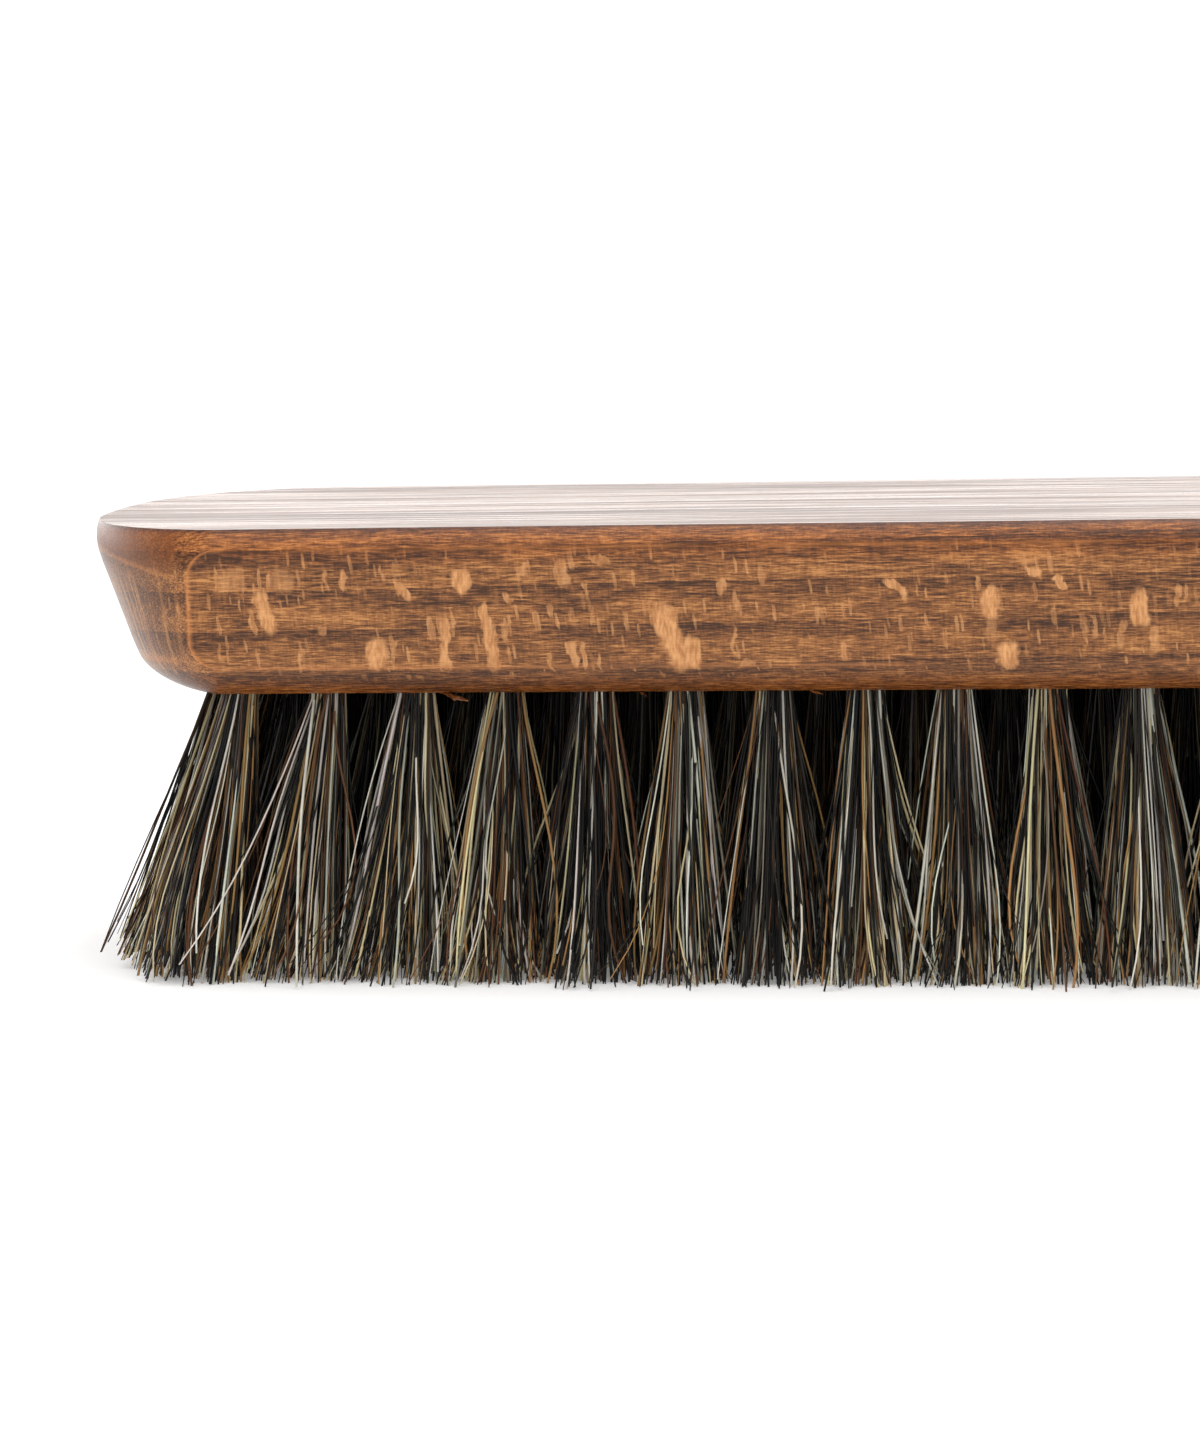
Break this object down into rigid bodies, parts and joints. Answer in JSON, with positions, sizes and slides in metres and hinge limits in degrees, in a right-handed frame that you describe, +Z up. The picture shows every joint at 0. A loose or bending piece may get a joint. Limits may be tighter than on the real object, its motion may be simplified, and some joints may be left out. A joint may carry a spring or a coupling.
{
  "type": "bee brush",
  "caption": "Oblong bristle brush: a one-piece stained beech block with rounded, undercut ends, filled with staggered rows of flaring mixed horsehair tufts.",
  "frame": {"origin": "under the middle of the block, on the plane of the trimmed bristle tips", "axes": "+X along the brush, +Y across it, +Z up from the bristle tips to the block's top face"},
  "size_m": [0.2006, 0.055, 0.044],
  "materials": {
    "beech": "stained beech under clear satin lacquer",
    "horsehair": "mixed black, brown, grey and cream natural horsehair",
    "steel_wire": "flat drawn steel wire"
  },
  "bodies": {
    "root": {"brush_block": "beech", "front_tuft_01": "horsehair", "front_tuft_02": "horsehair", "front_tuft_03": "horsehair", "front_tuft_04": "horsehair", "front_tuft_05": "horsehair", "front_tuft_06": "horsehair", "front_tuft_07": "horsehair", "front_tuft_08": "horsehair", "front_tuft_09": "horsehair", "front_tuft_10": "horsehair", "front_tuft_11": "horsehair", "front_tuft_12": "horsehair", "front_tuft_13": "horsehair", "front_tuft_14": "horsehair", "front_tuft_15": "horsehair", "front_tuft_16": "horsehair", "front_tuft_17": "horsehair", "front_tuft_18": "horsehair", "front_tuft_19": "horsehair", "front_tuft_20": "horsehair", "rear_tuft_01": "horsehair", "rear_tuft_02": "horsehair", "rear_tuft_03": "horsehair", "rear_tuft_04": "horsehair", "rear_tuft_05": "horsehair", "rear_tuft_06": "horsehair", "rear_tuft_07": "horsehair", "rear_tuft_08": "horsehair", "rear_tuft_09": "horsehair", "rear_tuft_10": "horsehair", "rear_tuft_11": "horsehair", "rear_tuft_12": "horsehair", "rear_tuft_13": "horsehair", "rear_tuft_14": "horsehair", "rear_tuft_15": "horsehair", "rear_tuft_16": "horsehair", "rear_tuft_17": "horsehair", "rear_tuft_18": "horsehair", "rear_tuft_19": "horsehair", "rear_tuft_20": "horsehair", "tuft_row_2": "horsehair", "tuft_row_3": "horsehair", "tuft_row_4": "horsehair", "tuft_row_5": "horsehair", "tuft_row_6": "horsehair"}
  },
  "joints": []
}
